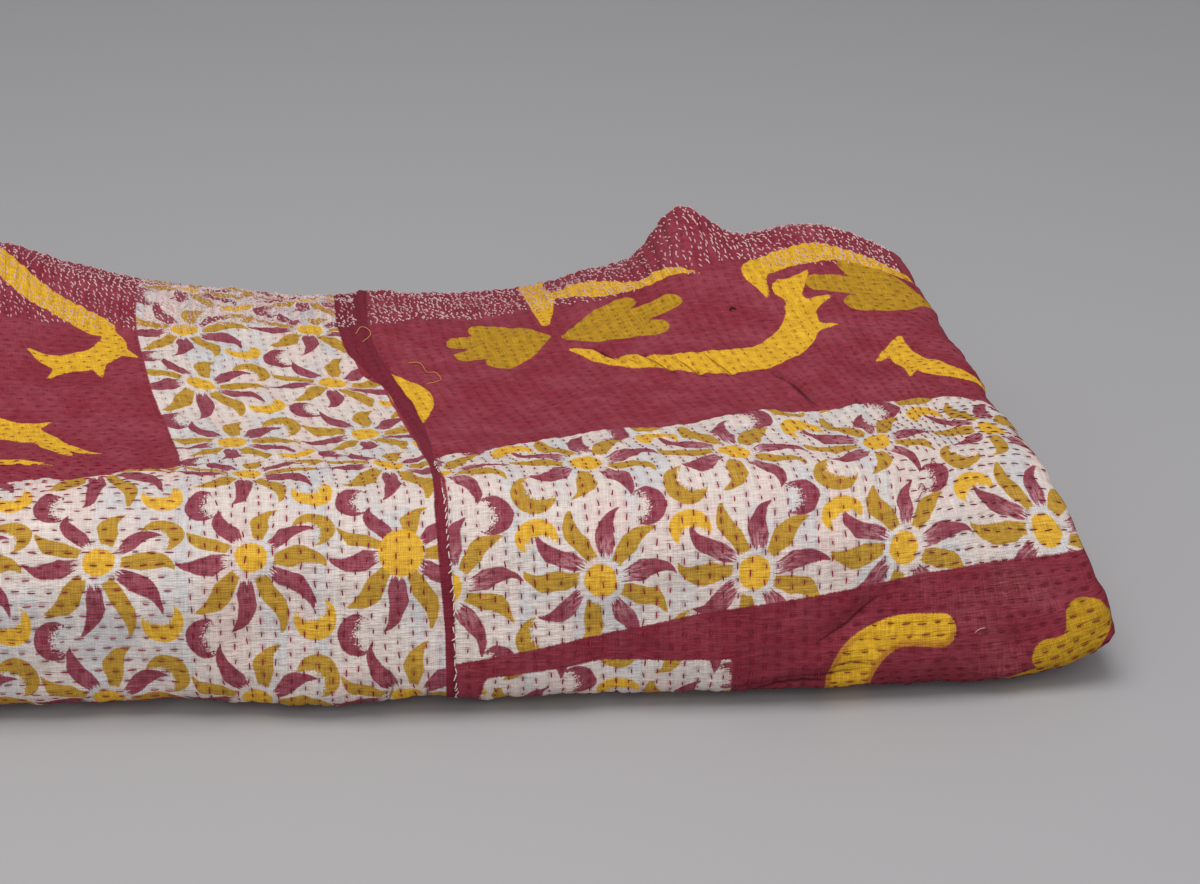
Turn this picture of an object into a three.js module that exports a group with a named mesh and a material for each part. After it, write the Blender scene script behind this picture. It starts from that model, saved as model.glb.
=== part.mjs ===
// A hand-stitched kantha quilt, lying folded.
// It is one sheet of old cotton layers. It is doubled end to end, folded in thirds and then in half,
// so twelve leaves lie on each other, a little apart. The last fold is the thick round one in front.
// Millimetres: +X runs along the front fold, +Y goes from it to the open back, and +Z is up.

import * as THREE from "three";

// The sheet, and the levels at which its leaves lie: 0 on the floor, topLevel uppermost
const thickness = 3.0;
const topLevel = 11;

// Across the doubled cloth, from its hems on the left to its fold on the right
const leftHem = -413;
const rightFold = 201;
const rightFoldReach = 5;
const rightFoldSteps = 4;
const innerHemInset = 9;
const leafStations = [leftHem, -335, -262, -190, -120, -55, 5, 50, 82, 94, 105, 116, 132, 160, rightFold];

// Along the cloth. Each run lies between the front and the back, and its two leaves have these levels
const runs = [
  { outer: 0, inner: 1 },
  { outer: 11, inner: 10 },
  { outer: 8, inner: 9 },
  { outer: 3, inner: 2 },
  { outer: 4, inner: 5 },
  { outer: 7, inner: 6 },
];
const runStations = [80, 128, 180, 228, 264, 292];
const firstEdge = 310;
const lastEdge = 300;

// The turns after each run but the last: where they start, and how many steps they take
const turns = [
  { side: "front", start: 36.6, steps: 10 },
  { side: "back", start: 310, steps: 5 },
  { side: "front", start: 36, steps: 8 },
  { side: "back", start: 298, steps: 5 },
  { side: "front", start: 35.4, steps: 6 },
];
const frontDepthPerLevel = 7.3;
const backDepthPerLevel = 5.5;
const frontRoundness = { above: 2.3, below: 12, innermost: 2 };

// Height of the pile's top at each section along X, from the front crest to the back
const sectionDepths = [32, 110, 165, 225, 268];
const sections = [
  { x: -465, crest: 76, valley: 66, middle: 64, rise: 64, back: 60 },
  { x: -413, crest: 80, valley: 72, middle: 72, rise: 74, back: 76 },
  { x: -335, crest: 82, valley: 70, middle: 74, rise: 84, back: 100 },
  { x: -280, crest: 82, valley: 68, middle: 72, rise: 84, back: 99 },
  { x: -235, crest: 82, valley: 67, middle: 70, rise: 76, back: 83 },
  { x: -185, crest: 82, valley: 66, middle: 69, rise: 72, back: 69 },
  { x: -130, crest: 82, valley: 66, middle: 66, rise: 69, back: 63 },
  { x: -75, crest: 82, valley: 66, middle: 66, rise: 67, back: 62 },
  { x: -25, crest: 84, valley: 69, middle: 68, rise: 69, back: 62 },
  { x: 15, crest: 86, valley: 74, middle: 74, rise: 77, back: 75 },
  { x: 50, crest: 87, valley: 77, middle: 79, rise: 86, back: 83 },
  { x: 85, crest: 87, valley: 78, middle: 80, rise: 90, back: 93 },
  { x: 125, crest: 86, valley: 79, middle: 82, rise: 93, back: 99 },
  { x: 160, crest: 84, valley: 78, middle: 81, rise: 85, back: 85 },
  { x: 190, crest: 78, valley: 72, middle: 72, rise: 74, back: 76 },
  { x: 207, crest: 74, valley: 69, middle: 69, rise: 70, back: 72 },
];
const backDroop = { from: 262, to: 318, share: 0.16 };

// The pointed ear that the back fold throws up
const ear = { x: 55, y: 272, height: 26, left: 14, right: 19, depth: 34 };

// How the pile settled: towards the back its upper leaves lean left, a little less at the right end
const lean = [
  { y: 20, left: 0, rightEnd: 0 },
  { y: 58, left: 5, rightEnd: 5 },
  { y: 112, left: 16, rightEnd: 12 },
  { y: 169, left: 33, rightEnd: 24 },
  { y: 228, left: 45, rightEnd: 32 },
  { y: 287, left: 50, rightEnd: 35 },
  { y: 318, left: 52, rightEnd: 37 },
];
const rightEndOfLean = { from: 90, to: 200 };

// The right end tucks in towards its top, the front slumps back there, and its lower corner curls up
const rightTuck = { from: 110, to: 205, left: 24, atBack: 11, fadesFrom: 40, fadesBy: 200, power: 1.6 };
const frontSlump = { from: 80, to: 215, back: 34, fadesBy: 200, power: 1.3 };
const cornerLift = { from: 155, to: 210, up: 14, fadesFrom: 90, fadesBy: 200 };
const hemWave = { size: 4, length: 45, turnPerLevel: 1.7, fadesBy: -340 };

// Middle of the pile's footprint, which the part's origin lies under
const footprint = { x: -128, y: 157 };

const { lerp, smoothstep } = THREE.MathUtils;

// A smooth curve through the values at the places, level past both ends
function curveThrough(places, values, place) {
  const last = places.length - 1;
  if (place <= places[0]) return values[0];
  if (place >= places[last]) return values[last];
  const i = places.findIndex((next) => next > place) - 1;
  const slopeAt = (k) => {
    const before = Math.max(k - 1, 0);
    const after = Math.min(k + 1, last);
    return (values[after] - values[before]) / (places[after] - places[before]);
  };
  const width = places[i + 1] - places[i];
  const u = (place - places[i]) / width;
  const start = values[i] * (1 + 2 * u) * (1 - u) ** 2 + slopeAt(i) * width * u * (1 - u) ** 2;
  const end = values[i + 1] * (3 - 2 * u) * u ** 2 - slopeAt(i + 1) * width * (1 - u) * u ** 2;
  return start + end;
}

function pileHeight(x, y) {
  const places = sections.map((section) => section.x);
  const heights = sections.map((section) =>
    curveThrough(sectionDepths, [section.crest, section.valley, section.middle, section.rise, section.back], y));
  const droop = backDroop.share * smoothstep(y, backDroop.from, backDroop.to);
  return curveThrough(places, heights, x) * (1 - droop);
}

function earHeight(x, y) {
  const width = x < ear.x ? ear.left : ear.right;
  return ear.height * Math.exp(-(((x - ear.x) / width) ** 2) - ((y - ear.y) / ear.depth) ** 2);
}

function leanAt(x, y) {
  const places = lean.map((row) => row.y);
  const main = curveThrough(places, lean.map((row) => row.left), y);
  const end = curveThrough(places, lean.map((row) => row.rightEnd), y);
  return lerp(main, end, smoothstep(x, rightEndOfLean.from, rightEndOfLean.to));
}

// Where a place of the neatly folded cloth lies in the settled pile
function settle(x, y, level) {
  const share = level / topLevel;
  const tuck = lerp(rightTuck.left, rightTuck.atBack, smoothstep(y, rightTuck.fadesFrom, rightTuck.fadesBy));
  const leftward = leanAt(x, y) * share
    + tuck * smoothstep(x, rightTuck.from, rightTuck.to) * share ** rightTuck.power;
  const wave = hemWave.size * Math.sin(y / hemWave.length + hemWave.turnPerLevel * level)
    * (1 - smoothstep(x, leftHem, hemWave.fadesBy));
  const slump = frontSlump.back * smoothstep(x, frontSlump.from, frontSlump.to)
    * share ** frontSlump.power * (1 - smoothstep(y, 0, frontSlump.fadesBy));
  const px = x - leftward + wave;
  const py = y + slump;
  const lift = cornerLift.up * smoothstep(px, cornerLift.from, cornerLift.to) ** 2
    * (1 - smoothstep(py, cornerLift.fadesFrom, cornerLift.fadesBy));
  const pz = thickness / 2 + lift + share * (pileHeight(px, py) - lift - thickness)
    + share ** 3 * earHeight(px, py);
  return new THREE.Vector3(px, py, pz);
}

// A half turn between two levels, bulging to the front or drawn round at the back
function turn({ side, start, steps }, from, to) {
  const middle = (from + to) / 2;
  const reach = Math.abs(to - from) / 2;
  const inward = 1 - (reach - 0.5) / (topLevel / 2 - 0.5);
  return Array.from({ length: steps + 1 }, (_, step) => {
    const angle = (Math.PI * step) / steps;
    const rise = Math.cos(angle) * Math.sign(from - middle);
    const outermost = rise > 0 ? frontRoundness.above : frontRoundness.below;
    const roundness = side === "front" ? lerp(outermost, frontRoundness.innermost, inward) : 2;
    const level = middle + reach * Math.sign(rise) * Math.abs(rise) ** (2 / roundness);
    const bulge = reach * Math.sin(angle) ** (2 / roundness);
    const y = side === "front" ? start - frontDepthPerLevel * bulge : start + backDepthPerLevel * bulge;
    return { y, level };
  });
}

// The whole way along one leaf, from the sheet's first edge to its last
function alongLeaf(leaf) {
  const path = [{ y: firstEdge, level: runs[0][leaf] }];
  runs.forEach((run, i) => {
    const stations = i % 2 ? runStations : runStations.toReversed();
    path.push(...stations.map((y) => ({ y, level: run[leaf] })));
    if (turns[i]) path.push(...turn(turns[i], run[leaf], runs[i + 1][leaf]));
  });
  path.push({ y: lastEdge, level: runs.at(-1)[leaf] });
  return path;
}

// The way across: over the outer leaf to the fold on the right, and back over the inner leaf
function acrossLeaves() {
  const outer = leafStations.map((x) => ({ x, share: 0 }));
  const inner = leafStations.map((x) => ({ x: x === leftHem ? x + innerHemInset : x, share: 1 }));
  const fold = [];
  for (let step = 1; step < rightFoldSteps; step++) {
    const angle = (Math.PI * step) / rightFoldSteps;
    fold.push({ x: rightFold + rightFoldReach * Math.sin(angle), share: (1 - Math.cos(angle)) / 2 });
  }
  return [...outer, ...fold, ...inner.toReversed()];
}

// Middle of the sheet's thickness, as rows along the cloth of places across it
function middleSurface() {
  const outer = alongLeaf("outer");
  const inner = alongLeaf("inner");
  return outer.map((place, i) => acrossLeaves().map(({ x, share }) =>
    settle(x, lerp(place.y, inner[i].y, share), lerp(place.level, inner[i].level, share))));
}

// Direction of a line of places at one of them, halfway between the stretches that meet there
function direction(before, here, after) {
  const into = here.clone().sub(before).normalize();
  const outOf = after.clone().sub(here).normalize();
  return into.add(outOf).normalize();
}

// Closed solid of a sheet that has this middle surface
function sheetGeometry(rows, sheetThickness) {
  const count = rows.length;
  const width = rows[0].length;
  const place = (i, k) => rows[THREE.MathUtils.clamp(i, 0, count - 1)][THREE.MathUtils.clamp(k, 0, width - 1)];
  const positions = [];
  for (const face of [1, -1]) {
    for (let i = 0; i < count; i++) {
      for (let k = 0; k < width; k++) {
        const along = direction(place(i - 1, k), place(i, k), place(i + 1, k));
        const across = direction(place(i, k - 1), place(i, k), place(i, k + 1));
        const normal = across.cross(along).normalize();
        positions.push(...place(i, k).clone().addScaledVector(normal, (face * sheetThickness) / 2));
      }
    }
  }
  const vertex = (face, i, k) => (face * count + i) * width + k;
  const indices = [];
  const quad = (a, b, c, d) => indices.push(a, b, c, a, c, d);
  for (let i = 0; i < count - 1; i++) {
    for (let k = 0; k < width - 1; k++) {
      const [from, to] = [place(i, k), place(i + 1, k + 1)];
      const turned = (to.x - from.x) * (to.y - from.y) < 0 ? 1 : 0;
      const corners = [[i, k], [i, k + 1], [i + 1, k + 1], [i + 1, k]];
      const [a, b, c, d] = corners.map((_, n) => corners[(n + turned) % 4]);
      quad(vertex(0, ...a), vertex(0, ...b), vertex(0, ...c), vertex(0, ...d));
      quad(vertex(1, ...a), vertex(1, ...d), vertex(1, ...c), vertex(1, ...b));
    }
    quad(vertex(0, i, 0), vertex(0, i + 1, 0), vertex(1, i + 1, 0), vertex(1, i, 0));
    quad(vertex(0, i, width - 1), vertex(1, i, width - 1), vertex(1, i + 1, width - 1), vertex(0, i + 1, width - 1));
  }
  for (let k = 0; k < width - 1; k++) {
    quad(vertex(0, 0, k), vertex(1, 0, k), vertex(1, 0, k + 1), vertex(0, 0, k + 1));
    quad(vertex(0, count - 1, k), vertex(0, count - 1, k + 1), vertex(1, count - 1, k + 1), vertex(1, count - 1, k));
  }
  const geometry = new THREE.BufferGeometry();
  geometry.setAttribute("position", new THREE.Float32BufferAttribute(positions, 3));
  geometry.setIndex(indices);
  geometry.computeVertexNormals();
  return geometry;
}

function makeQuilt() {
  const cloth = new THREE.MeshStandardMaterial({ color: 0x8c3546, roughness: 0.95, metalness: 0 });
  const quilt = new THREE.Mesh(sheetGeometry(middleSurface(), thickness), cloth);
  quilt.name = "quilt";
  quilt.position.set(-footprint.x, -footprint.y, 0);
  return quilt;
}

const foldedQuilt = new THREE.Group();
foldedQuilt.add(makeQuilt());

export default foldedQuilt;
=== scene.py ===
from math import cos, pi, radians, sin

import bmesh
import bpy
import numpy as np
from mathutils import Matrix, Vector


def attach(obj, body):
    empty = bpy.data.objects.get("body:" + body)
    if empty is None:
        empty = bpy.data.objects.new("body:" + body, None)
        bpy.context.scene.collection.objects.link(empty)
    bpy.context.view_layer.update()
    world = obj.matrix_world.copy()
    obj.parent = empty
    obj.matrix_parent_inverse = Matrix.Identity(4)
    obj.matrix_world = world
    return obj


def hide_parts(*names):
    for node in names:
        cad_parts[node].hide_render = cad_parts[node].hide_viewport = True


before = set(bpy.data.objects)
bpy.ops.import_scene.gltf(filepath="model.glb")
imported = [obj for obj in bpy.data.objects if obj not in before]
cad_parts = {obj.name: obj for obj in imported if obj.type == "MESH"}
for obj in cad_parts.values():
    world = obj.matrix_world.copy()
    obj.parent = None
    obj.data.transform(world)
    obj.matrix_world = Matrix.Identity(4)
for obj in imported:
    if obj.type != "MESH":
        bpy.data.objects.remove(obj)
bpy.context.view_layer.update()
millimetre = 0.001

# Lengths in this script are millimetres until a mesh is made. A place on the cloth is (u, v):
# u runs along the front fold, and v up the front face from the floor and back over the top.

pile = {
    "thickness": 3.0, "topLevel": 11, "levelPitch": 7.0,
    "leftHem": -413.0, "innerHemInset": 9.0,
    "rightFold": 201.0, "rightFoldReach": 5.0, "rightFoldLength": 13.0,
    "firstEdge": 310.0, "lastEdge": 300.0,
    "middleOfFootprint": (-128.0, 157.0),
}
runs = [
    {"outer": 0, "inner": 1}, {"outer": 11, "inner": 10}, {"outer": 8, "inner": 9},
    {"outer": 3, "inner": 2}, {"outer": 4, "inner": 5}, {"outer": 7, "inner": 6},
]
turns = [
    {"side": "front", "start": 36.6}, {"side": "back", "start": 310.0}, {"side": "front", "start": 36.0},
    {"side": "back", "start": 298.0}, {"side": "front", "start": 35.4},
]
turnShape = {"frontDepth": 7.7, "backDepth": 5.5, "above": 2.2, "below": 7.0, "innermost": 2.0, "steps": 96}

# Height of the pile's top: one row for each section along the fold, from the front crest to the back
sectionDepths = [32, 110, 165, 225, 268]
sections = {
    -465: (76, 66, 64, 64, 60), -413: (80, 72, 72, 74, 76), -335: (82, 70, 74, 84, 100),
    -280: (82, 68, 72, 84, 99), -235: (82, 67, 70, 76, 83), -185: (82, 66, 69, 72, 69),
    -130: (82, 66, 66, 69, 63), -75: (82, 66, 66, 67, 62), -25: (84, 69, 68, 69, 62),
    15: (86, 74, 74, 77, 75), 50: (87, 77, 79, 86, 83), 85: (87, 78, 80, 90, 93),
    125: (86, 79, 82, 93, 99), 160: (84, 78, 81, 85, 85), 190: (78, 72, 72, 74, 76),
    207: (74, 69, 69, 70, 72),
}
backDroop = {"start": 262, "end": 318, "share": 0.16}
ear = {"x": 55, "y": 272, "height": 26, "left": 14, "right": 19, "depth": 34}
lean = {
    "y": [20, 58, 112, 169, 228, 287, 318],
    "left": [0, 5, 16, 33, 45, 50, 52],
    "rightEnd": [0, 5, 12, 24, 32, 35, 37],
    "start": 90, "end": 200,
}
rightTuck = {
    "start": 110, "end": 205, "left": 24, "atBack": 11, "fadesFrom": 40, "fadesBy": 200, "power": 1.6,
}
frontSlump = {"start": 80, "end": 215, "back": 34, "fadesBy": 200, "power": 1.3}
cornerLift = {"start": 155, "end": 210, "up": 14, "fadesFrom": 90, "fadesBy": 200}
hemWave = {"size": 4, "length": 45, "turnPerLevel": 1.7, "fadesBy": -340}


def smooth(value, start, end):
    share = np.clip((value - start) / (end - start), 0, 1)
    return share * share * (3 - 2 * share)


def mix(a, b, share):
    return a + (b - a) * share


def curveThrough(places, values, place):
    # a smooth curve through the values, level past both ends; a value may itself be an array
    places, values = np.asarray(places, float), np.asarray(values, float)
    if values.ndim == 1:
        values = np.repeat(values[:, None], len(place), axis=1)
    last = len(places) - 1
    before, after = np.maximum(np.arange(last + 1) - 1, 0), np.minimum(np.arange(last + 1) + 1, last)
    slopes = (values[after] - values[before]) / (places[after] - places[before])[:, None]
    place = np.clip(place, places[0], places[-1])
    i = np.clip(np.searchsorted(places, place, side="right") - 1, 0, last - 1)
    n = np.arange(len(place))
    width = places[i + 1] - places[i]
    w = (place - places[i]) / width
    return (values[i, n] * (1 + 2 * w) * (1 - w) ** 2 + slopes[i, n] * width * w * (1 - w) ** 2
            + values[i + 1, n] * (3 - 2 * w) * w ** 2 - slopes[i + 1, n] * width * (1 - w) * w ** 2)


def pileHeight(x, y):
    heights = np.stack([curveThrough(sectionDepths, row, y) for row in sections.values()])
    droop = backDroop["share"] * smooth(y, backDroop["start"], backDroop["end"])
    return curveThrough(list(sections), heights, x) * (1 - droop)


def earHeight(x, y):
    width = np.where(x < ear["x"], ear["left"], ear["right"])
    return ear["height"] * np.exp(-((x - ear["x"]) / width) ** 2 - ((y - ear["y"]) / ear["depth"]) ** 2)


def settle(x, y, level):
    # where a place of the neatly folded cloth lies in the settled pile
    share = level / pile["topLevel"]
    leaning = mix(curveThrough(lean["y"], lean["left"], y), curveThrough(lean["y"], lean["rightEnd"], y),
                  smooth(x, lean["start"], lean["end"]))
    toBack = smooth(y, rightTuck["fadesFrom"], rightTuck["fadesBy"])
    tuck = mix(rightTuck["left"], rightTuck["atBack"], toBack)
    tuck = tuck * smooth(x, rightTuck["start"], rightTuck["end"]) * share ** rightTuck["power"]
    wave = hemWave["size"] * np.sin(y / hemWave["length"] + hemWave["turnPerLevel"] * level)
    slump = frontSlump["back"] * smooth(x, frontSlump["start"], frontSlump["end"])
    slump = slump * share ** frontSlump["power"]
    px = x - leaning * share - tuck + wave * (1 - smooth(x, pile["leftHem"], hemWave["fadesBy"]))
    py = y + slump * (1 - smooth(y, 0, frontSlump["fadesBy"]))
    lift = cornerLift["up"] * smooth(px, cornerLift["start"], cornerLift["end"]) ** 2
    lift = lift * (1 - smooth(py, cornerLift["fadesFrom"], cornerLift["fadesBy"]))
    pz = pile["thickness"] / 2 + lift + share * (pileHeight(px, py) - lift - pile["thickness"])
    return np.stack([px, py, pz + share ** 3 * earHeight(px, py)], axis=-1)


def turnPath(turn, start, end):
    middle, reach = (start + end) / 2, abs(end - start) / 2
    inward = 1 - (reach - 0.5) / (pile["topLevel"] / 2 - 0.5)
    angle = np.linspace(0, pi, turnShape["steps"] + 1)
    rise = np.cos(angle) * np.sign(start - middle)
    roundness, depth = 2, turnShape["backDepth"]
    if turn["side"] == "front":
        outermost = np.where(rise > 0, turnShape["above"], turnShape["below"])
        roundness = mix(outermost, turnShape["innermost"], inward)
        depth = -turnShape["frontDepth"]
    level = middle + reach * np.sign(rise) * np.abs(rise) ** (2 / roundness)
    y = turn["start"] + depth * reach * np.abs(np.sin(angle)) ** (2 / roundness)
    return np.column_stack([y, level])


def leafPath(leaf):
    # the runs are the straight gaps between the turns
    path = [[(pile["firstEdge"], runs[0][leaf])]]
    path += [turnPath(turn, runs[i][leaf], runs[i + 1][leaf]) for i, turn in enumerate(turns)]
    return np.concatenate(path + [[(pile["lastEdge"], runs[-1][leaf])]])


outerPath, innerPath = leafPath("outer"), leafPath("inner")
pathSteps = np.diff(outerPath, axis=0) * (1, pile["levelPitch"])
pathLength = np.concatenate([[0], np.cumsum(np.hypot(*pathSteps.T))])
firstEdgeV = -pathLength[1]
pathV = pathLength + firstEdgeV
leafLength = pile["rightFold"] - pile["leftHem"]
foldEnd = pile["rightFold"] + pile["rightFoldLength"]


# the front edge bends up off the floor, and bulges in the middle
underEdge = {
    "lift": 2.6, "liftLevels": (0.6, 2.0), "slot": (12, 36),
    "forward": 6.5, "middle": (-190, -100, 150, 205), "fadesBy": 60, "upTo": (0.2, 0.7),
}


def foldedPlace(u, v):
    # u past the right fold goes back along the inner leaf
    angle = np.clip((u - pile["rightFold"]) / pile["rightFoldLength"], 0, 1) * pi
    x = np.where(u < pile["rightFold"], u, pile["rightFold"] - np.maximum(u - foldEnd, 0))
    x = x + pile["rightFoldReach"] * np.sin(angle)
    share = (1 - np.cos(angle)) / 2
    y = mix(np.interp(v, pathV, outerPath[:, 0]), np.interp(v, pathV, innerPath[:, 0]), share)
    level = mix(np.interp(v, pathV, outerPath[:, 1]), np.interp(v, pathV, innerPath[:, 1]), share)
    place = settle(x, y, level)
    front = outerPath[:, 0].min()
    lift = underEdge["lift"] * (1 - smooth(y - front, *underEdge["slot"]))
    place[:, 2] += lift * (1 - smooth(level, *underEdge["liftLevels"]))
    a, b, c, d = underEdge["middle"]
    forward = underEdge["forward"] * smooth(x, a, b) * (1 - smooth(x, c, d))
    forward = forward * (1 - smooth(y, 0, underEdge["fadesBy"]))
    place[:, 1] -= forward * (1 - smooth(level / pile["topLevel"], *underEdge["upTo"]))
    return place


def middleAndNormal(u, v):
    step = 0.6
    across = foldedPlace(u + step, v) - foldedPlace(u - step, v)
    along = foldedPlace(u, v + step) - foldedPlace(u, v - step)
    normal = np.cross(across, along)
    return foldedPlace(u, v), normal / np.linalg.norm(normal, axis=1, keepdims=True)


# Stitch rows: where the thread goes up the cloth in columns, and where it goes along it in rows
stitchWork = {
    "columnGap": leafLength / 116, "columnPitch": 5.2, "rowGap": 4.7, "rowPitch": 6.5,
    "whitePitch": 3.8, "wander": 0.7, "wanderLength": 46.0,
    "phaseStep": 0.37, "phaseSwing": 0.19, "phaseTurn": 1.7,
    "groove": 0.15, "whiteGroove": 0.42, "whiteBlend": 1.5,
}
sewnV = (2.0, 470.0)
whiteThreadFrom = {"u": [-420, -212, -136, -37, 26, 60, 103, 123, 144, 214],
                   "v": [324, 324, 326, 339, 350, 338, 331, 346, 334, 336]}
window = {"u": (-280.75, 207.0), "v": (-20.0, 480.0)}  # past it the printed patches are mirrored


def mirrored(place, ends):
    length = ends[1] - ends[0]
    return ends[1] - np.abs((place - ends[0]) % (2 * length) - length)


def whiteThreadShare(u, v):
    start = np.interp(u, whiteThreadFrom["u"], whiteThreadFrom["v"])
    return smooth(v, start - stitchWork["whiteBlend"], start + stitchWork["whiteBlend"])


rowZones = {
    "leftEnds": (-166, -160), "cornerStarts": (172, 178),
    "right": {"starts": (119, 125), "below": (128, 134)},
    "low": {"starts": (86, 92), "below": (74, 80)},
}


def rowsShare(u, v):
    # 1 where the stitches go along the cloth, 0 where they go up it
    leftRows = 1 - smooth(u, *rowZones["leftEnds"])
    rightRows, lowRows = (smooth(u, *zone["starts"]) * (1 - smooth(v, *zone["below"]))
                          for zone in (rowZones["right"], rowZones["low"]))
    cornerRows = smooth(u, *rowZones["cornerStarts"])
    return np.clip(leftRows + np.maximum(np.maximum(rightRows, lowRows), cornerRows), 0, 1)


def wander(place):
    return stitchWork["wander"] * np.sin(place / stitchWork["wanderLength"])


def stitchPhase(line):
    swing = stitchWork["phaseSwing"] * np.sin(line * stitchWork["phaseTurn"])
    return (line * stitchWork["phaseStep"] + swing) % 1.0


# Creases and seams pressed into the cloth, each a line of (u, v) places
creases = [
    {"line": [(109, 246), (112, 234), (113, 218), (112, 203)], "depth": 2.4, "width": 1.5},
    {"line": [(125, 217), (129, 211), (131, 199)], "depth": 1.6, "width": 1.5},
    {"line": [(86, 264), (91, 254), (93, 239)], "depth": 1.3, "width": 1.5},
    {"line": [(45, 289), (52, 274), (59, 262)], "depth": 1.6, "width": 1.5},
    {"line": [(62, 272), (66, 258), (69, 246)], "depth": 1.4, "width": 1.5},
    {"line": [(74, 262), (77, 252), (81, 241)], "depth": 1.3, "width": 1.5},
    {"line": [(-43, 297), (-26, 298), (-8, 302)], "depth": 1.5, "width": 1.6},
    {"line": [(52, 40), (72, 45), (90, 48), (104, 50)], "depth": 2.2, "width": 2.0},
    {"line": [(60, 38), (74, 42), (91, 45)], "depth": 1.6, "width": 1.8},
    {"line": [(84, 61), (96, 67), (109, 77)], "depth": 1.4, "width": 2.4},
    {"line": [(89, 51), (98, 53), (105, 52)], "depth": 1.2, "width": 1.8},
    {"line": [(-84, 36), (-82, 48), (-83, 58)], "depth": 0.9, "width": 2.4},
    {"line": [(-160, 173), (-152, 178), (-140, 180)], "depth": 0.9, "width": 2.2},
]
creaseShape = {"darkShare": 0.26, "rimShare": 0.45, "rimAt": 2.4, "ends": (0.02, 0.98)}
farOutside = -6.0  # what a signed distance says well outside its shape
seam = {
    "rightEdge": [(-58, -40), (-57, 80), (-60, 130), (-57, 170), (-47, 250), (-50, 310), (-44, 480)],
    "leftEdge": [(-62, -40), (-61, 70), (-64, 120), (-59, 188), (-54, 265), (-64, 300), (-62, 480)],
    "ridge": 5.6, "height": 0.6, "soft": 0.8,
}


def seamEdge(name, v):
    places = seam[name]
    return np.interp(v, [place[1] for place in places], [place[0] for place in places])


def distanceToLine(u, v, line):
    nearest, share = np.full(len(u), 1e6), np.zeros(len(u))
    line = np.asarray(line, float)
    lengths = np.concatenate([[0], np.cumsum(np.hypot(*np.diff(line[:, :2], axis=0).T))])
    for i, (a, b) in enumerate(zip(line[:-1, :2], line[1:, :2])):
        step = b - a
        w = np.clip(((u - a[0]) * step[0] + (v - a[1]) * step[1]) / (step @ step), 0, 1)
        away = np.hypot(u - a[0] - w * step[0], v - a[1] - w * step[1])
        closer = away < nearest
        share = np.where(closer, (lengths[i] + w * (lengths[i + 1] - lengths[i])) / lengths[-1], share)
        nearest = np.minimum(nearest, away)
    return nearest, share


softness = {"seed": 7, "waves": [(60, 0.7), (34, 0.45), (19, 0.3), (11, 0.22)], "each": 5}


def creaseShadeEdge(u, v):
    # positive inside the line of painted shade at the bottom of a crease
    edges = []
    for crease in creases:
        away, share = distanceToLine(u, v, crease["line"])
        edges.append(crease["depth"] * creaseShape["darkShare"] * np.sin(share * pi) - away)
    return np.maximum(np.max(edges, axis=0), farOutside)


def softWaves(u, v):
    rng = np.random.default_rng(softness["seed"])
    total = np.zeros(len(u))
    for length, height in softness["waves"]:
        for _ in range(softness["each"]):
            turn, phase = rng.uniform(0, pi), rng.uniform(0, 2 * pi)
            total += height / softness["each"] ** 0.5 * np.sin(
                2 * pi / length * (u * cos(turn) + v * sin(turn)) + phase)
    return total


def relief(u, v):
    # how far the face cloth stands out of the plain fold
    height = softWaves(u, v)
    for crease in creases:
        away, share = distanceToLine(u, v, crease["line"])
        fade = np.sin(np.clip(share, *creaseShape["ends"]) * pi) ** 0.5
        height -= crease["depth"] * fade * np.exp(-(away / crease["width"]) ** 2)
        offRim = (away - creaseShape["rimAt"] * crease["width"]) / crease["width"]
        height += creaseShape["rimShare"] * crease["depth"] * fade * np.exp(-offRim ** 2)
    offRidge = np.abs(u - seamEdge("rightEdge", v) + seam["ridge"] / 2)
    half = seam["ridge"] / 2
    height += seam["height"] * (1 - smooth(offRidge, half - seam["soft"], half + seam["soft"]))
    column = (u - pile["leftHem"] - wander(v)) / stitchWork["columnGap"]
    redGroove = stitchWork["groove"] * (1 - rowsShare(u, v))
    groove = mix(redGroove, stitchWork["whiteGroove"], whiteThreadShare(u, v))
    return height - groove * np.cos(2 * pi * column)


# Printed patches, as outlines on the cloth
whitePatches = {
    "leftField": [(-430, -40), (-430, 148), (-290, 150), (-205, 158), (-160, 175), (-157, 300),
                  (-158, 490), (-61, 490), (-62, 280), (-55, 270), (-60, 190), (-60, -40)],
    "rightStripe": [(-57, 178), (0, 190), (125, 198), (230, 190), (230, 86), (125, 83), (40, 73), (-60, 58)],
    "lowPatch": [(-46, 52), (0, 57), (51, 56), (52, -40), (-60, -40)],
}


def insidePatch(u, v, outline):
    # distance from the outline, positive inside it
    away, _ = distanceToLine(u, v, [*outline, outline[0]])
    inside = np.zeros(len(u), bool)
    for (au, av), (bu, bv) in zip(outline, [*outline[1:], outline[0]]):
        if av != bv:
            crosses = ((av > v) != (bv > v)) & (u < (bu - au) * (v - av) / (bv - av) + au)
            inside ^= crosses
    return np.where(inside, away, -away)


def curvedLine(places, steps=12):
    # an even smooth line through places that may carry a half width as a third number
    places = np.asarray(places, float)
    spots = np.arange(len(places))
    fine = np.linspace(0, len(places) - 1, (len(places) - 1) * steps + 1)
    return np.column_stack([curveThrough(spots, column, fine) for column in places.T])


def nearOnly(measure, u, v, places, reach):
    # measures only the points near the shape, and calls the rest well outside
    box = np.asarray([place[:2] for place in places], float)
    near = ((u > box[:, 0].min() - reach) & (u < box[:, 0].max() + reach)
            & (v > box[:, 1].min() - reach) & (v < box[:, 1].max() + reach))
    result = np.full(len(u), farOutside)
    if near.any():
        result[near] = np.maximum(measure(u[near], v[near], places), farOutside)
    return result


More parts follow.
